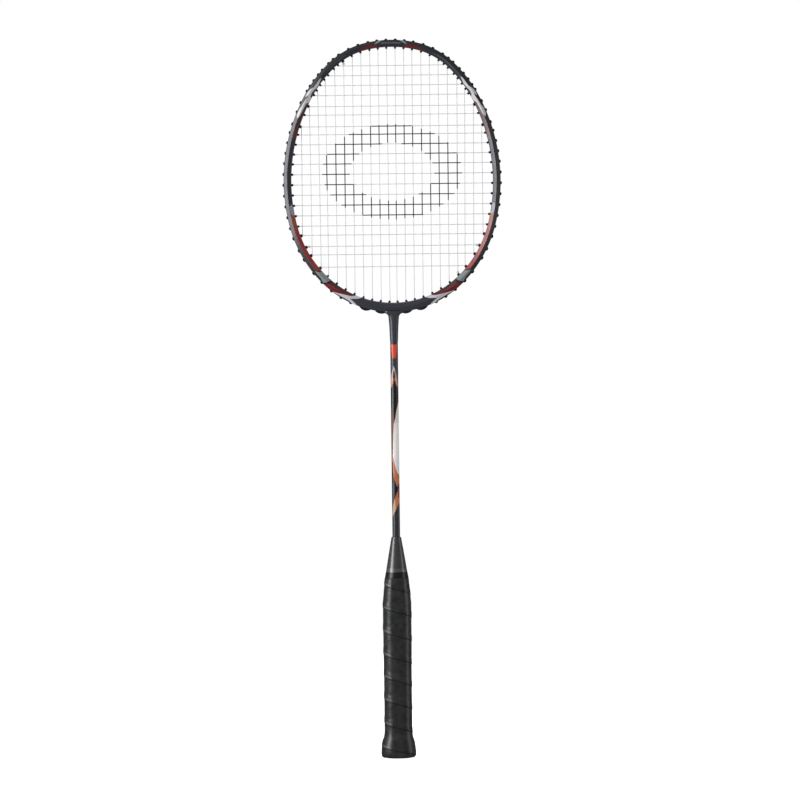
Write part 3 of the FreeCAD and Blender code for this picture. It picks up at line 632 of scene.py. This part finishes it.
def make_throat(material):
    """The moulded stem: round where it meets the shaft, flaring into the hoop with soft shoulders."""
    stem_top = 414.0 * MM
    flare = 4.0 * MM
    top = throat_high.z
    heights = np.concatenate([
        np.linspace(throat_low.z, stem_top, 30, endpoint=False),
        stem_top + flare * np.sin(np.linspace(0, 0.5 * math.pi, 14)),
        [top - 1.0 * MM, top],
    ])
    stem = smooth_curve(
        [throat_low.z, 396 * MM, 402 * MM, 408 * MM, stem_top],
        [shaft_high.x, 3.92 * MM, 4.12 * MM, 4.45 * MM, 4.95 * MM], heights,
    )
    rise = np.clip((heights - stem_top) / flare, 0, 1)
    half_width = stem + flare * (1 - np.sqrt(1 - np.minimum(rise, 0.9999) ** 2))
    half_depth = smooth_curve(
        [throat_low.z, 402 * MM, 413 * MM, 420 * MM, top],
        [shaft_high.x, 4.0 * MM, 4.6 * MM, 5.0 * MM, 4.6 * MM], heights,
    )
    power = smooth_curve([throat_low.z, 410 * MM, 419 * MM], [2.0, 2.1, 2.9], heights)[:, None]
    angles = around(72)
    cosine, sine = np.cos(angles), np.sin(angles)
    x = half_width[:, None] * np.sign(sine) * np.abs(sine) ** (2 / power)
    y = -half_depth[:, None] * np.sign(cosine) * np.abs(cosine) ** (2 / power)
    points = np.stack(np.broadcast_arrays(x, y, heights[:, None]), axis=-1)
    return make_piece("throat_stem", points, [material], ["throat"])


# ---------------- shaft, cone and tape

def make_shaft(material):
    """Slim round shaft, carrying its graphics' coordinates: along from its top, across from the left."""
    count, sides = 315, 64
    heights = np.linspace(shaft_high.z, shaft_low.z, count)
    profile = [(shaft_high.x, height) for height in heights]
    along = np.repeat((shaft_high.z - heights) / MM, sides)
    across = np.tile(0.5 + 0.5 * np.sin(around(sides)), count)
    return lathe(
        "shaft_tube", profile, material, ["shaft"], sides, {"along": along, "across": across},
    )


def cone_surface(z):
    """Radius of the cone at a height on its slope."""
    top_radius, foot_radius, foot_z = 4.5 * MM, 10.0 * MM, 174.7 * MM
    return top_radius + (foot_radius - top_radius) * (cone_high.z - z) / (cone_high.z - foot_z)


def make_cone(material):
    """Moulded cone with a softened lip round the shaft and a faint swell along its slope."""
    lip, swell = 0.5 * MM, 0.1 * MM
    bore, top = shaft_high.x, cone_high.z
    profile = [(bore - 0.05 * MM, top - 0.6 * MM), (bore + 0.02 * MM, top - 0.1 * MM)]
    profile += [tuple(point) for point in bezier(
        (bore + 0.1 * MM, top), (cone_surface(top), top), (cone_surface(top - lip), top - lip), 5,
    )]
    for share in np.linspace(0.03, 1.0, 40):
        z = top - share * (top - tape_low.z)
        profile.append((cone_surface(z) + swell * math.sin(math.pi * share), z))
    profile.append((cone_surface(tape_low.z) - 0.3 * MM, cone_low.z))
    sides = 96
    height = np.repeat([z / MM for _, z in profile], sides)
    return lathe("cone", profile, material, ["cone_cap"], sides, {"height": height})


def make_tape(material):
    """Two close turns of finishing tape over the cone's foot, a little wavy at its edges."""
    sides, rows = 120, 18
    angles = around(sides)
    share = np.linspace(0, 1, rows)[:, None]
    wave = 0.1 * MM * np.sin(3 * angles + 0.6) + 0.05 * MM * np.sin(7 * angles)
    low, high = tape_low.z - 0.6 * MM + wave, tape_high.z + 0.8 * wave
    z = low + (high - low) * share
    edge = np.clip(np.minimum(share, 1 - share) / 0.06, 0, 1)
    # Above a slanting line only one turn is left
    second_turn = 0.06 * MM / (1 + np.exp(-(share - 0.42 - angles / 40) / 0.02))
    radius = cone_surface(z) + (0.2 * MM - second_turn) * np.sqrt(edge * (2 - edge))
    return make_piece(
        "finishing_tape", about_axis(radius, angles, z), [material], ["cone_tape"],
    )


# ---------------- grip and butt

# Outside of the wound grip: height, full width in X, full depth in Y
GRIP_PROFILE = np.array([
    (0.5, 30.4, 27.6), (1.4, 32.2, 29.4), (4.0, 32.8, 29.9), (8.0, 32.6, 29.7), (12.0, 31.8, 29.0),
    (16.0, 30.2, 27.5), (20.0, 27.7, 25.3), (24.0, 26.7, 24.4), (28.0, 26.5, 24.1), (76.0, 26.5, 24.1),
    (104.0, 26.9, 24.4), (144.0, 27.1, 24.5), (148.0, 26.6, 24.2), (156.0, 25.2, 23.7), (164.0, 23.7, 23.0),
    (169.2, 22.6, 22.6),
]) * MM
BEVEL = 0.255
CORNER_SHARPNESS = 10.0
LAP_PITCH = 21.6 * MM
LAP_THICKNESS = 0.32 * MM
FIRST_SEAM_Z = 157.9 * MM
FOLD_LENGTH = 2.4 * MM


def octagon_radius(z, angle):
    """Distance from the axis to the rounded octagon's surface; angle 0 faces the front."""
    half_x = 0.5 * smooth_curve(GRIP_PROFILE[:, 0], GRIP_PROFILE[:, 1], z)
    half_y = 0.5 * smooth_curve(GRIP_PROFILE[:, 0], GRIP_PROFILE[:, 2], z)
    across_x, across_y = np.abs(np.sin(angle)), np.abs(np.cos(angle))
    bevel_x, bevel_y = 2 * BEVEL * half_x, 2 * BEVEL * half_y
    bevel_line = half_x * bevel_y + half_y * bevel_x - bevel_x * bevel_y
    sides = [across_x / half_x, across_y / half_y, (across_x * bevel_y + across_y * bevel_x) / bevel_line]
    return sum(side ** CORNER_SHARPNESS for side in sides) ** (-1 / CORNER_SHARPNESS)


def make_grip(material):
    """One long tape wound down the handle: each turn's lower edge lies on the turn below it."""
    columns = 112
    top, bottom = tape_low.z, GRIP_PROFILE[0, 0]
    first_turn = (FIRST_SEAM_Z - top) / LAP_PITCH - 0.3
    last_turn = (FIRST_SEAM_Z - bottom + FOLD_LENGTH) / LAP_PITCH + 1.2
    turns = np.linspace(first_turn, last_turn, round((last_turn - first_turn) * columns))[:, None]
    # Share of the tape's width, from its rolled lower edge up to where the next turn covers it
    share = np.array([
        -0.016, -0.012, -0.004, 0.003, 0.011, 0.02, 0.032, 0.05, 0.075, 0.1, 0.13, 0.16, 0.19, 0.22, 0.25,
        0.28, 0.32, 0.36, 0.41, 0.47, 0.54, 0.61, 0.68, 0.75, 0.82, 0.88, 0.94, 1.0, 1.06,
    ])
    lift = np.interp(share, [-0.016, -0.012, -0.004, 0.003, 0.011, 0.02, 0.05, 0.2, 0.32, 1.0],
                     [-1.2, -0.1, 0.35, 0.6, 0.76, 0.88, 1.0, 0.9, 0.1, 0.0])
    angles = 2 * math.pi * turns
    # Wound by hand: the seams wander and the tape is squeezed unevenly
    wander = 0.35 * MM * np.sin(1.7 * turns + 0.4) + 0.22 * MM * np.sin(0.83 * angles + 1.1)
    squeeze = 0.05 * MM * np.sin(2.3 * angles + 9 * share) * np.sin(2 * math.pi * share)
    path = FIRST_SEAM_Z - LAP_PITCH * turns + wander + share * LAP_PITCH
    z = np.clip(path, bottom, top)
    folded = np.clip(bottom - path, 0, FOLD_LENGTH)
    above = np.clip(path - top, 0, 0.6 * MM)
    radius = octagon_radius(z, angles) + LAP_THICKNESS * (lift - 0.45) + squeeze - folded - above
    z = z + 0.16 * MM * np.sin(math.pi * folded / FOLD_LENGTH)
    # Worn shine and a painted highlight just above the seams, on one bevel of the front and its opposite
    facing = np.sin(angles) * np.sign(np.cos(angles))
    wear_and_highlight_bevels = np.clip((0.26 - np.abs(facing + 0.66)) / 0.12, 0, 1)
    wear_and_highlight = np.exp(-((share - 0.09) / 0.05) ** 2) * wear_and_highlight_bevels
    # Painted shadow along each seam, at the rolled lower edge of each turn
    seam = np.exp(-((share - 0.015) / 0.035) ** 2) * np.ones_like(turns)
    return make_piece(
        "wound_grip", about_axis(radius, angles, z), [material], ["grip_wrap"],
        {"wear_and_highlight": wear_and_highlight, "seam": seam}, close_columns=False,
    )


# The butt plate from its middle outwards: share of its half width, height in millimetres
BUTT_PROFILE = [
    (0.0, 0.35), (0.42, 0.35), (0.45, 0.3), (0.47, 0.0), (0.62, 0.0), (0.64, 0.3), (0.67, 0.35),
    (0.71, 0.35), (0.74, 0.28), (0.76, 0.0), (0.93, 0.0), (0.965, 0.12), (0.99, 0.45), (1.0, 1.0),
    (0.98, 1.6),
]


def make_butt_plate(material):
    """Moulded plate that closes the butt: flat where it stands, with a sunk ring and a rolled rim."""
    overlap = 0.3 * MM
    angles = around(96)
    outline = octagon_radius(np.full_like(angles, 25 * MM), angles)
    scale = (0.5 * (plate_high.x + plate_high.y) + overlap) / outline.max()
    rows = [about_axis(share * scale * outline, angles, height * MM) for share, height in BUTT_PROFILE]
    return make_piece("butt_cap", rows, [material], ["butt_plate"])


# ---------------- strings

class StringEnd:
    """Where one string, or two that share a hole, meets the hoop on the right-hand side."""

    def __init__(self, bearing, splay=0.0):
        self.shared = False
        self.splay = splay
        self.set_bearing(bearing)

    def set_bearing(self, bearing):
        """Put the grommet's tip at this bearing and find the string's seat in the groove."""
        self.bearing = bearing
        self.tip = chain_point(inner_chain, bearing, -TIP_LENGTH)
        normal = Vector((math.sin(bearing), 0, math.cos(bearing)))
        if self.splay:
            exit_x = self.tip.x + self.splay
            self.exit_bearing = solve(lambda b: chain_point(outer_chain, b).x, exit_x, 0.5 * math.pi, math.pi)
        else:
            spread = math.radians(40)
            self.exit_bearing = solve(
                lambda b: (chain_point(outer_chain, b) - self.tip).cross(normal).y,
                0.0, max(bearing - spread, 0), min(bearing + spread, math.pi),
            )
        through = chain_point(outer_chain, self.exit_bearing) - self.tip
        self.seat = self.tip + through * (1 - SEAT_DEPTH / through.length)


def on_side(point, side, y):
    """A right-hand point taken to side 1 (right) or -1 (left), at depth y."""
    return Vector((side * point.x, y, point.z))


def main_end(index, low, high, lean=0.0, splay=0.0):
    """End of a main string, where its line meets the curve through the grommets' tips."""
    x = MAIN_FIRST_X + MAIN_PITCH * index + lean
    return StringEnd(solve(lambda b: chain_point(inner_chain, b, -TIP_LENGTH).x, x, low, high), splay)


def cross_end(index):
    """End of a cross string, counted from the top; the lowest one is set a little apart."""
    upper = min(index, UPPER_CROSS_GAPS)
    z = CROSS_TOP_Z - UPPER_CROSS_PITCH * upper - LOWER_CROSS_PITCH * (index - upper)
    if index == CROSS_COUNT - 1:
        z -= LAST_CROSS_DROP
    return StringEnd(solve(lambda b: chain_point(inner_chain, b, -TIP_LENGTH).z, z, 0, math.pi))


def share_close_holes(main_ends, cross_ends):
    """Where a main and a cross would come out almost together, both use one hole."""
    for index, end in enumerate(main_ends):
        nearest = min(cross_ends, key=lambda other: (other.tip - end.tip).length)
        if (nearest.tip - end.tip).length < SHARING_DISTANCE and not nearest.shared:
            nearest.set_bearing(0.5 * (nearest.bearing + end.bearing))
            nearest.shared = True
            main_ends[index] = nearest


splays = THROAT_SPLAY + [0.0] * (MAINS_EACH_SIDE - len(THROAT_SPLAY))
main_tops = [main_end(index, 0, 0.5 * math.pi, lean=lean) for index, lean in enumerate(MAIN_TOP_LEAN)]
main_bottoms = [main_end(index, 0.5 * math.pi, math.pi, splay=splay) for index, splay in enumerate(splays)]
cross_ends = [cross_end(index) for index in range(CROSS_COUNT)]
share_close_holes(main_tops, cross_ends)
share_close_holes(main_bottoms, cross_ends)
COLUMNS = [(-1, index) for index in reversed(range(MAINS_EACH_SIDE))]
COLUMNS += [(1, index) for index in range(MAINS_EACH_SIDE)]


def crossing(side, index, row, string):
    """Point where a main (string 1) or a cross (string -1) passes the other, each on its own side of it."""
    bottom, top, z = main_bottoms[index].tip, main_tops[index].tip, cross_ends[row].tip.z
    x = bottom.x + (top.x - bottom.x) * (z - bottom.z) / (top.z - bottom.z)
    column = index if side > 0 else -1 - index
    main_side = 1 if (column + row) % 2 == 0 else -1
    return Vector((side * x, string * main_side * WEAVE_HEIGHT, z))


def crosses_main(index, row):
    """Whether a cross string's line meets a main string well inside its two ends."""
    low, high = main_bottoms[index].tip.z, main_tops[index].tip.z
    return low + CROSSING_MARGIN < cross_ends[row].tip.z < high - CROSSING_MARGIN


def woven(first, first_side, last, last_side, crossings, lane):
    """A run through two holes as (point, bend radius), easing from one side of each crossing to the other."""
    turns = [on_side(first.tip, first_side, lane), *crossings, on_side(last.tip, last_side, lane)]
    run = [(on_side(first.seat, first_side, lane), EXIT_BEND)]
    for start, end in zip(turns, turns[1:]):
        steps = max(3, round((end - start).length / WEAVE_STEP))
        for step in range(steps):
            point = start.lerp(end, step / steps)
            point.y = start.y + (end.y - start.y) * (0.5 - 0.5 * math.cos(math.pi * step / steps))
            run.append((point, 0.0))
    run[1] = (turns[0], TIP_BEND)
    return run + [(turns[-1], TIP_BEND), (on_side(last.seat, last_side, lane), EXIT_BEND)]


def main_run(side, index):
    """One main string from bottom to top."""
    rows = [row for row in reversed(range(CROSS_COUNT)) if crosses_main(index, row)]
    crossings = [crossing(side, index, row, 1) for row in rows]
    return woven(main_bottoms[index], side, main_tops[index], side, crossings, STRING_LANE)


def cross_run(row):
    """One cross string from left to right."""
    crossings = [crossing(side, index, row, -1) for side, index in COLUMNS if crosses_main(index, row)]
    return woven(cross_ends[row], -1, cross_ends[row], 1, crossings, -STRING_LANE)


def tie_off(end, side, lane, inward):
    """From the first turn of a knot, just inside a hole, back out through the hole."""
    return [
        (on_side(end.tip + Vector(inward) * KNOT_START, side, lane), 0.0),
        (on_side(end.tip, side, lane), TIP_BEND),
        (on_side(end.seat, side, lane), EXIT_BEND),
    ]


def outside_point(first, first_side, second, second_side, lane):
    """Point in the groove halfway between two holes, where the string crosses outside."""
    middle = 0.5 * (first_side * first.exit_bearing + second_side * second.exit_bearing)
    return (chain_point(outer_chain, middle, -SEAT_DEPTH, lane), GROOVE_BEND)


def wound(runs, first_tie, last_tie, lane):
    """One length to and fro through the runs, knotted on the left at its start and on the right at its end.

    A run is (points, first hole and its side, last hole and its side); a tie is (hole, way to the knot).
    """
    route = tie_off(first_tie[0], -1, lane, first_tie[1])
    previous = (first_tie[0], -1)
    for count, (points, start, end) in enumerate(runs):
        if count % 2:
            points, start, end = points[::-1], end, start
        route.append(outside_point(*previous, *start, lane))
        route += points
        previous = end
    route.append(outside_point(*previous, last_tie[0], 1, lane))
    return route + tie_off(last_tie[0], 1, lane, last_tie[1])[::-1]


def main_string_route():
    """One length that goes up and down the bed from left to right."""
    tie = (cross_ends[MAIN_TIE_CROSS], (-1, 0, 0))
    runs = [
        (main_run(side, index), (main_bottoms[index], side), (main_tops[index], side))
        for side, index in COLUMNS
    ]
    return wound(runs, tie, tie, STRING_LANE)


def cross_string_route():
    """One length that goes from side to side, from the top down."""
    first_tie = (main_tops[CROSS_START_TIE_MAIN], (0, 0, -1))
    last_tie = (main_bottoms[CROSS_END_TIE_MAIN], (0, 0, 1))
    runs = [(cross_run(row), (end, -1), (end, 1)) for row, end in enumerate(cross_ends)]
    return wound(runs, first_tie, last_tie, -STRING_LANE)


def rounded(route):
    """Points along a route, with its turns rounded to their bend radii."""
    slightest_turn, facet, longest_share = 0.01, math.radians(12), 0.45
    path = [route[0][0]]
    for (before, _), (corner, radius), (after, _) in zip(route, route[1:], route[2:]):
        arriving, leaving = (corner - before).normalized(), (after - corner).normalized()
        half_turn = 0.5 * arriving.angle(leaving)
        if radius == 0 or half_turn < slightest_turn:
            path.append(corner)
            continue
        shorter = min((corner - before).length, (after - corner).length)
        setback = min(radius * math.tan(half_turn), longest_share * shorter)
        start, end = corner - arriving * setback, corner + leaving * setback
        pieces = max(2, math.ceil(2 * half_turn / facet))
        weight = math.cos(half_turn)
        for step in range(pieces + 1):
            t = step / pieces
            share = (1 - t) ** 2 + 2 * t * (1 - t) * weight + t * t
            path.append(((1 - t) ** 2 * start + 2 * t * (1 - t) * weight * corner + t * t * end) / share)
    return path + [route[-1][0]]


def is_inked(point):
    """Whether the stencilled ring covers this place on the string bed."""
    reach = math.hypot(point[0] / RING_HALF_WIDTH, (point[2] - RING_CENTRE_Z) / RING_HALF_HEIGHT)
    return RING_HOLE < reach < 1


def make_string(name, route, materials, node):
    """A round string swept along its route, white with stencilled lengths."""
    sides = 10
    path = np.array(rounded(route))
    tangents = np.gradient(path, axis=0)
    tangents /= np.linalg.norm(tangents, axis=1)[:, None]
    across = np.cross(tangents[0], (0, 1, 0))
    angles = around(sides)
    rings = []
    for centre, tangent in zip(path, tangents):
        across = across - tangent * across.dot(tangent)
        across /= np.linalg.norm(across)
        up = np.cross(tangent, across)
        radius = STRING_RADIUS + (INK_THICKNESS if is_inked(centre) else 0.0)
        rings.append(centre + radius * (np.cos(angles)[:, None] * across + np.sin(angles)[:, None] * up))
    steps = np.linalg.norm(np.diff(path, axis=0), axis=1)
    along = np.concatenate([[0.0], np.cumsum(steps)]) / (10 * MM)
    turned = np.tile(angles / (2 * math.pi), len(path))
    piece = make_piece(
        name, rings, materials, [node], {"along": np.repeat(along, sides), "around": turned},
    )
    inked = [int(is_inked(point)) for point in 0.5 * (path[1:] + path[:-1])]
    piece.data.polygons.foreach_set("material_index", np.repeat(inked, sides))
    return piece


# ---------------- stage

def add_light(name, bearing, height, aim, size, power, colour=(1, 1, 1)):
    """Soft rectangular light, degrees round from the front, facing the racket's axis at the height aim."""
    distance = 1.5
    light = bpy.data.lights.new(name, "AREA")
    light.shape = "RECTANGLE"
    light.size, light.size_y = size
    light.energy = power
    light.color = colour
    lamp = bpy.data.objects.new(name, light)
    angle = math.radians(bearing)
    place = Vector((distance * math.sin(angle), -distance * math.cos(angle), height))
    turn = (Vector((0, 0, aim)) - place).to_track_quat("-Z", "Y")
    lamp.matrix_world = Matrix.Translation(place) @ turn.to_matrix().to_4x4()
    bpy.context.scene.collection.objects.link(lamp)


def make_floor():
    """White floor just under the racket, which the camera sees and the racket's surfaces do not."""
    reach, gap = 1.2, 0.02 * MM
    corners = [(-reach, -reach, 0), (reach, -reach, 0), (reach, reach, 0), (-reach, reach, 0)]
    mesh = bpy.data.meshes.new("floor")
    mesh.from_pydata(corners, [], [(0, 1, 2, 3)])
    mesh.materials.append(floor_white())
    floor = bpy.data.objects.new("floor", mesh)
    bpy.context.scene.collection.objects.link(floor)
    floor.location.z = -gap
    floor.visible_glossy = False
    floor.visible_diffuse = False


def make_world():
    """White all round, dimmer for the light it sheds and dimmer still in reflections."""
    shed, reflected, seen = 0.5, 0.1, 1.0
    world = bpy.data.worlds.new("studio")
    world.use_nodes = True
    tree = world.node_tree
    background = tree.nodes["Background"]
    background.inputs["Color"].default_value = (1.0, 1.0, 1.0, 1.0)
    rays = tree.nodes.new("ShaderNodeLightPath")
    glossy, camera = (tree.nodes.new("ShaderNodeMix") for _ in range(2))
    glossy.inputs["A"].default_value = shed
    glossy.inputs["B"].default_value = reflected
    camera.inputs["B"].default_value = seen
    tree.links.new(rays.outputs["Is Glossy Ray"], glossy.inputs["Factor"])
    tree.links.new(rays.outputs["Is Camera Ray"], camera.inputs["Factor"])
    tree.links.new(glossy.outputs["Result"], camera.inputs["A"])
    tree.links.new(camera.outputs["Result"], background.inputs["Strength"])
    bpy.context.scene.world = world


def make_camera():
    """Long lens straight on to the strings, rolled a little so that the head leans to the left."""
    distance, view_width = 3.0, 0.7528
    centre_x, centre_z = 0.005, 0.3362
    lean, sensor, farthest = 0.0116, 36.0, 50.0
    roll = math.atan(lean)
    camera = bpy.data.cameras.new("camera")
    camera.sensor_width = sensor
    camera.lens = sensor * distance / view_width
    camera.clip_end = farthest
    viewer = bpy.data.objects.new("camera", camera)
    right = Vector((math.cos(roll), 0, -math.sin(roll)))
    up = Vector((math.sin(roll), 0, math.cos(roll)))
    turn = Matrix((right, up, right.cross(up))).transposed().to_4x4()
    viewer.matrix_world = Matrix.Translation((centre_x, -distance, centre_z)) @ turn
    bpy.context.scene.collection.objects.link(viewer)
    bpy.context.scene.camera = viewer
    bpy.context.scene.view_settings.view_transform = "Standard"


# ---------------- the racket

make_camera()
make_hoop(lacquer("hoop_lacquer", CHARCOAL, HOOP_SHAPES))
make_throat(lacquer("throat_lacquer", SLATE))
make_shaft(lacquer("shaft_lacquer", CHARCOAL, SHAFT_SHAPES))
make_cone(cone_plastic())
make_tape(finishing_tape())
make_grip(grip_polyurethane())
make_butt_plate(moulded_nylon("butt_plastic", (0.012, 0.012, 0.013), 0.36))

white_string = string_finish("string_jacket", (0.77, 0.78, 0.8), 0.4, 0.15)
inked_string = string_finish("string_ink", (0.012, 0.012, 0.013), 0.55, 0.0)
make_string("woven_mains", main_string_route(), [white_string, inked_string], "main_string")
make_string("woven_crosses", cross_string_route(), [white_string, inked_string], "cross_string")

carried_over = {
    "grommet_nylon": moulded_nylon("grommet_nylon", (0.01, 0.01, 0.011), 0.34),
    "string_white": white_string,
    "insert_metal": insert_metal(),
    "handle_wood": handle_wood(),
}
for row in frame["record"]["subparts"]:
    if row["material_slot"] in carried_over:
        for place in frame["nodes"][row["node"]].material_slots:
            place.material = carried_over[row["material_slot"]]

# A cool, tall light on the left, and a weaker, narrower one on the right
make_floor()
make_world()
cool = (0.95, 0.97, 1.0)
add_light("key_strip", bearing=-61, height=0.78, aim=0.78, size=(0.66, 1.32), power=18.0, colour=cool)
add_light("fill_panel", bearing=79, height=0.4, aim=0.36, size=(0.4, 1.2), power=2.6)
